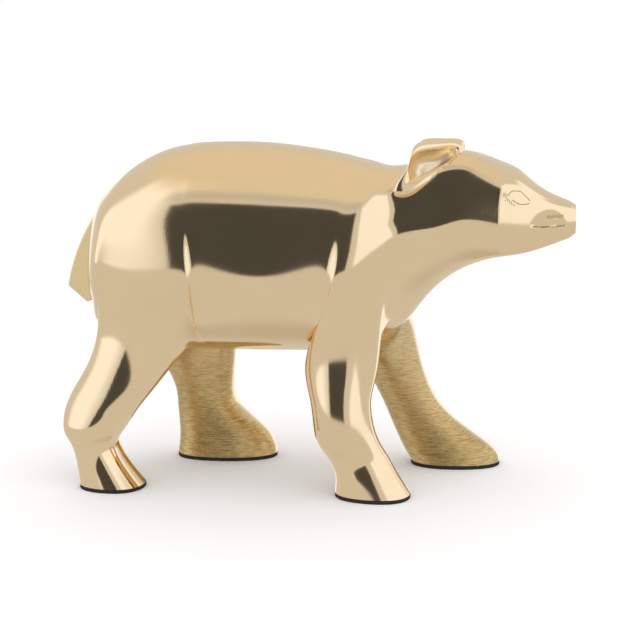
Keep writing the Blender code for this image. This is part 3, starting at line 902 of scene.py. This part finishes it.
# %% Sizes of the burrs
BURR_INPUTS = [("Per square metre", "Float", 220000.0), ("Length", "Float", 2.6 * MM),
               ("Width", "Float", 0.20 * MM), ("Height", "Float", 0.08 * MM),
               ("Stray", "Float", 0.5), ("Seed", "Int", 7)]
BURRS_OVER = 0.6          # burrs lie where the filing is stronger than this


# %% Points for the burrs
def filed_points(tree, given):
    """Points scattered over the filed places, with the surface's normal at each."""
    where = add_node(tree, "GeometryNodeInputNamedAttribute", data_type="FLOAT", Name="filed")
    chosen = add_node(tree, "FunctionNodeCompare", data_type="FLOAT",
                      operation="GREATER_THAN", A=where.outputs["Attribute"], B=BURRS_OVER)
    return add_node(tree, "GeometryNodeDistributePointsOnFaces", Mesh=given["Geometry"],
                    Selection=chosen.outputs["Result"], Density=given["Per square metre"],
                    Seed=given["Seed"])


# %% Directions of the burrs
def burr_rotation(tree, given, scatter):
    """Flat on the surface and level, turned by a random angle up to Stray."""
    normal = scatter.outputs["Normal"]
    level = calculate(tree, "CROSS_PRODUCT", normal, (0, 0, 1), kind="ShaderNodeVectorMath")
    lie = add_node(tree, "FunctionNodeAxesToRotation", primary_axis="Z", secondary_axis="X",
                   Primary_Axis=normal, Secondary_Axis=level)
    least = calculate(tree, "MULTIPLY", given["Stray"], -1.0)
    stray = add_node(tree, "FunctionNodeRandomValue", data_type="FLOAT", Min=least,
                     Max=given["Stray"], Seed=given["Seed"])
    angles = add_node(tree, "ShaderNodeCombineXYZ", Z=stray.outputs["Value"])
    turn = add_node(tree, "FunctionNodeEulerToRotation", Euler=angles.outputs[0])
    turned = add_node(tree, "FunctionNodeRotateRotation", rotation_space="LOCAL",
                      Rotation=lie.outputs[0], Rotate_By=turn.outputs[0])
    return turned.outputs[0]


# %% Node tree for the burrs
def burr_tree(brass):
    """The tree that makes the burrs, with their sizes as named inputs."""
    tree = bpy.data.node_groups.new("file_burrs", "GeometryNodeTree")
    sockets = tree.interface
    sockets.new_socket("Geometry", in_out="INPUT", socket_type="NodeSocketGeometry")
    for name, kind, value in BURR_INPUTS:
        socket = sockets.new_socket(name, in_out="INPUT", socket_type="NodeSocket" + kind)
        socket.default_value = value
    sockets.new_socket("Geometry", in_out="OUTPUT", socket_type="NodeSocketGeometry")
    given = add_node(tree, "NodeGroupInput").outputs
    scatter = filed_points(tree, given)
    sliver = add_node(tree, "GeometryNodeMeshIcoSphere", Radius=0.5, Subdivisions=1)
    size = add_node(tree, "ShaderNodeCombineXYZ", X=given["Length"], Y=given["Width"],
                    Z=given["Height"])
    placed = add_node(tree, "GeometryNodeInstanceOnPoints", Points=scatter.outputs["Points"],
                      Instance=sliver.outputs["Mesh"], Scale=size.outputs[0],
                      Rotation=burr_rotation(tree, given, scatter))
    real = add_node(tree, "GeometryNodeRealizeInstances", Geometry=placed.outputs[0])
    finish = add_node(tree, "GeometryNodeSetMaterial", Geometry=real.outputs[0],
                      Material=brass)
    add_node(tree, "NodeGroupOutput", Geometry=finish.outputs[0])
    return tree


# %% Scatter the burrs
burr_brass = polished_brass("burrs of filed brass", FILED_SHADED_BRASS, smoothest=0.16, roughest=0.24)


def scatter_burrs():
    """The burrs alone, as one mesh, on a copy of the skin."""
    mesh = skin.data.copy()
    mesh.name = "file_burrs"
    made = bpy.data.objects.new("file_burrs", mesh)
    bpy.context.collection.objects.link(made)
    modifier = made.modifiers.new("Burrs", "NODES")
    modifier.node_group = burr_tree(burr_brass)
    bake_modifiers(made)
    return made


burrs = scatter_burrs()
print("burrs:", len(burrs.data.polygons), "faces")

# %% [markdown]
# ## Plain soles
#
# Smoothing has also cut the flat soles into hundreds of faces, which the pads hide.
# The burrs are in place now, so each sole can become one flat face.  A Decimate
# modifier would change the polished parts too, so only the soles' faces are joined.

# %% Make the soles plain
SOLE_MARGIN = 0.01 * MM


def make_soles_plain(mesh):
    """Joins the faces of each sole into one."""
    net = bmesh.new()
    net.from_mesh(mesh)
    soles = [f for f in net.faces if all(v.co.z < SOLE_LEVEL + SOLE_MARGIN for v in f.verts)]
    bmesh.ops.dissolve_faces(net, faces=soles, use_verts=False)
    net.to_mesh(mesh)
    net.free()


make_soles_plain(skin.data)
print("skin with plain soles:", len(skin.data.polygons), "faces")

# %% [markdown]
# ## The tail
#
# The tail is a short wedge, cast by itself, with a bowed outer edge and flat sides.
# Its side view is a plain outline, so it is extruded across and its edges are rounded
# with a bevel.

# %% Shape the tail
TAIL_HEIGHT = 0.050
TAIL_DROP = 0.042
TAIL_REACH = 0.0134
TAIL_START = 0.0065
TAIL_BOW = 0.0031
TAIL_HEEL = 0.0035
TAIL_WIDTH = 0.013
TAIL_TAPER = 0.25
TAIL_TENON = 0.010
TAIL_SHOULDER = 0.004
TAIL_EDGE = 0.0009
TAIL_EDGE_STEPS = 5
TAIL_STEPS = 32
TAIL_TOP = 0.705


def tail_outline():
    """The tail from the side: its bowed edge, its heel and its tenon."""
    rump, top = along(0.0), up(TAIL_TOP)
    bottom = top - TAIL_HEIGHT
    start = Vector((rump + TAIL_START, top))
    tip = Vector((rump - TAIL_REACH, top - TAIL_DROP))
    outward = Vector((tip.y - start.y, start.x - tip.x)).normalized()
    points = []
    for i in range(TAIL_STEPS + 1):
        t = i / TAIL_STEPS
        points.append(start.lerp(tip, t) + outward * TAIL_BOW * 4 * t * (1 - t))
    points.append(Vector((rump - TAIL_HEEL, bottom)))
    points.append(Vector((rump + TAIL_TENON - TAIL_SHOULDER, bottom + TAIL_SHOULDER)))
    points.append(Vector((rump + TAIL_TENON, top - TAIL_SHOULDER)))
    return points


def tail_net():
    """The outline twice, narrower as it stands further out, and faces between."""
    mesh = bmesh.new()
    sides = []
    for side in (RIGHT, LEFT):
        points = []
        for x, z in tail_outline():
            stand = max(0.0, along(0.0) - x) / TAIL_REACH
            points.append(Vector((x, side * TAIL_WIDTH / 2 * (1 - TAIL_TAPER * stand), z)))
        sides.append(add_verts(mesh, points))
    join_loops(mesh, *sides)
    for loop in sides:
        mesh.faces.new(loop)
    return mesh


tail = new_object("polished_tail", tail_net(), [tail_brass])
edges = tail.modifiers.new("Edges", "BEVEL")
edges.width = TAIL_EDGE
edges.segments = TAIL_EDGE_STEPS
edges.limit_method = "ANGLE"
edges.angle_limit = SHARP_ANGLE
edges.harden_normals = True
bake_modifiers(tail)
print("tail:", len(tail.data.polygons), "faces")

# %% [markdown]
# ## The pads
#
# Under each foot lies a thin pad of black felt.  A cylinder would stick out at the toe
# and fall short at the sides, so its net starts from the sole's own section.

# %% Cut the pads
PAD_TOP = SOLE_LEVEL


def pad_net(leg):
    """A flat net with crisp edges, from the sole's section."""
    mesh = bmesh.new()
    outline = leg_section(leg, leg.sections[-1])
    upper, lower = (add_verts(mesh, [Vector((p.x, p.y, z)) for p in outline])
                    for z in (PAD_TOP, 0.0))
    join_loops(mesh, upper, lower)
    for loop in (upper, lower):
        crease(mesh, loop, 1.0)
        close_with_fan(mesh, loop)
    return mesh


pads = {}
for name, leg in LEGS.items():
    pads[name] = new_object("felt_pad_" + name, pad_net(leg), [felt])
    smoothed(pads[name], settle_level=1, level=4)
print("pads:", len(pads))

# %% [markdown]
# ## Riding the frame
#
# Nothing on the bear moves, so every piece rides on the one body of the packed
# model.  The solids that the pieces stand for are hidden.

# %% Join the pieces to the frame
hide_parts("body_right_half", "body_left_half")
for side, word in SIDES:
    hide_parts("ear_" + word)
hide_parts("tail")
for name, pad in pads.items():
    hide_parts("pad_" + name)
pieces = [skin, burrs, tail, *ears.values(), *pads.values()]
for piece in pieces:
    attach(piece, "root")
print("pieces on the frame:", len(pieces))

# %% [markdown]
# ## The floor and the light
#
# The bear stands on a plain pale floor.  A polished thing is lit by what it reflects,
# so the studio is a world shader: a pale tent with brighter panels, and a dark gap
# where the camera looks in.  Its patches are soft boxes in azimuth and elevation.
# Lamps would do for a matte thing, but here their shapes would show as glints.  The
# camera sees only a plain background, and the paper is lit by an even one.

# %% Floor
FLOOR_SIZE = 40.0
PAPER = 0.90


def paper_floor():
    """A large sheet of matte paper, which reflections don't see."""
    mesh = bmesh.new()
    bmesh.ops.create_grid(mesh, x_segments=1, y_segments=1, size=FLOOR_SIZE / 2)
    material, tree, shader = new_material("pale paper")
    feed(tree, shader, Base_Color=(PAPER, PAPER, PAPER, 1), Roughness=1.0,
         Specular_IOR_Level=0.0)
    floor = new_object("floor", mesh, [material])
    floor.visible_glossy = False
    return floor


paper_floor()


# %% Studio round the bear
class Patch(NamedTuple):
    """A soft-edged box of sky.  Angles are in degrees: azimuth from the camera's side
    toward the nose, and elevation.  change is added to the light inside it."""
    azimuth: tuple
    elevation: tuple
    edge: float
    change: tuple


TENT = (0.68, 0.68, 0.68)
TABLE = (0.66, 0.65, 0.65)
HORIZON_EDGE = 2.0
ALL_ROUND = (-180, 180)
PATCHES = [
    Patch(ALL_ROUND, (52, 95), 24.0, (0.08, 0.02, -0.06)),
    Patch((-36, 20), (42, 52), 8.0, (-0.12, -0.11, -0.09)),
    Patch((-26, 9), (-10, 37), 2.5, (-0.61, -0.61, -0.61)),
    Patch((-84, -34), (-30, 58), 24.0, (0.38, 0.42, 0.56)),
    Patch((26, 135), (-20, 40), 8.0, (0.34, 0.38, 0.50)),
    Patch((142, 218), (-20, 12), 8.0, (0.40, 0.42, 0.46)),
]
TABLE_PATCHES = [
    Patch(ALL_ROUND, (-105, -66), 34.0, (-0.10, -0.12, -0.14)),
    Patch((142, 218), (-24, 20), 8.0, (0.40, 0.42, 0.46)),
]
PAPER_LIGHT = 1.30        # light on the paper, which makes it nearly white
FAR_PAPER = 1.0           # how bright the paper looks where it ends


# %% Helpers of the studio
def between(tree, value, low, high, edge):
    """1 between low and high, and 0 outside, with soft edges."""
    middle, half = (low + high) / 2, (high - low) / 2
    away = calculate(tree, "ABSOLUTE", calculate(tree, "SUBTRACT", value, middle))
    return ramp(tree, away, half - edge / 2, half + edge / 2, 1.0, 0.0, "SMOOTHSTEP")


def sky_angles(tree):
    """Azimuth from the camera's side, azimuth from the far side, and elevation."""
    place = add_node(tree, "ShaderNodeTexCoord").outputs["Generated"]
    x, y, z = add_node(tree, "ShaderNodeSeparateXYZ", Vector=place).outputs
    to_degrees = 180 / pi
    near = calculate(tree, "ARCTAN2", x, calculate(tree, "MULTIPLY", y, -1.0))
    far = calculate(tree, "ARCTAN2", calculate(tree, "MULTIPLY", x, -1.0), y)
    height = calculate(tree, "ARCSINE", z)
    return [calculate(tree, "MULTIPLY", angle, to_degrees) for angle in (near, far, height)]


def lit(tree, angles, start, patches):
    """The start colour with the patches added to it."""
    near, far, elevation = angles
    light = start
    for patch in patches:
        low, high = patch.azimuth
        turn = near
        if high > 180:
            turn, low, high = far, low - 180, high - 180
        share = between(tree, elevation, *patch.elevation, patch.edge)
        if patch.azimuth != ALL_ROUND:
            beside = between(tree, turn, low, high, patch.edge)
            share = calculate(tree, "MULTIPLY", share, beside)
        scaled = add_node(tree, "ShaderNodeVectorMath", operation="SCALE",
                          Vector=patch.change, Scale=share)
        light = calculate(tree, "ADD", light, scaled.outputs[0], kind="ShaderNodeVectorMath")
    return light


# %% Studio
def studio_world():
    """Reflections see the studio, matte surfaces even light, and the camera paper."""
    world = bpy.data.worlds.new("studio")
    world.use_nodes = True
    tree = world.node_tree
    tree.nodes.clear()
    angles = sky_angles(tree)
    above = between(tree, angles[-1], 0.0, 180.0, HORIZON_EDGE)
    light = mixed(tree, above, lit(tree, angles, TABLE, TABLE_PATCHES),
                  lit(tree, angles, TENT, PATCHES), "RGBA")
    plain = add_node(tree, "ShaderNodeBackground", Color=(1, 1, 1, 1), Strength=PAPER_LIGHT)
    seen = add_node(tree, "ShaderNodeBackground", Color=(1, 1, 1, 1), Strength=FAR_PAPER)
    rays = add_node(tree, "ShaderNodeLightPath").outputs
    last = add_node(tree, "ShaderNodeBackground", Color=light).outputs[0]
    for ray, background in (("Is Diffuse Ray", plain), ("Is Camera Ray", seen)):
        choose = add_node(tree, "ShaderNodeMixShader")
        for socket, value in zip(choose.inputs, (rays[ray], last, background.outputs[0])):
            tree.links.new(value, socket)
        last = choose.outputs[0]
    add_node(tree, "ShaderNodeOutputWorld", Surface=last)
    bpy.context.scene.world = world


studio_world()
bpy.context.scene.view_settings.view_transform = "Standard"
print("studio patches:", len(PATCHES))

# %% [markdown]
# ## The camera
#
# It stands 0.65 m from the bear's middle, on its right side and a little toward its
# nose, and looks down by about 10 degrees.

# %% Camera
CAMERA_TURN = radians(7.57)
CAMERA_RISE = radians(9.94)
CAMERA_DISTANCE = 0.650
LENS, SENSOR = 74.2, 36.0
TARGET = Vector((0.00215, 0.0, 0.07862))


def place_camera():
    """The scene's camera, which looks at the middle of the bear."""
    back = Vector((sin(CAMERA_TURN) * cos(CAMERA_RISE), -cos(CAMERA_TURN) * cos(CAMERA_RISE),
                   sin(CAMERA_RISE)))
    lens = bpy.data.cameras.new("camera")
    lens.lens, lens.sensor_width = LENS, SENSOR
    camera = bpy.data.objects.new("camera", lens)
    bpy.context.collection.objects.link(camera)
    camera.location = TARGET + back * CAMERA_DISTANCE
    camera.rotation_euler = (-back).to_track_quat("-Z", "Y").to_euler()
    bpy.context.scene.camera = camera
    return camera


print("camera at, mm:", [round(v / MM) for v in place_camera().location])
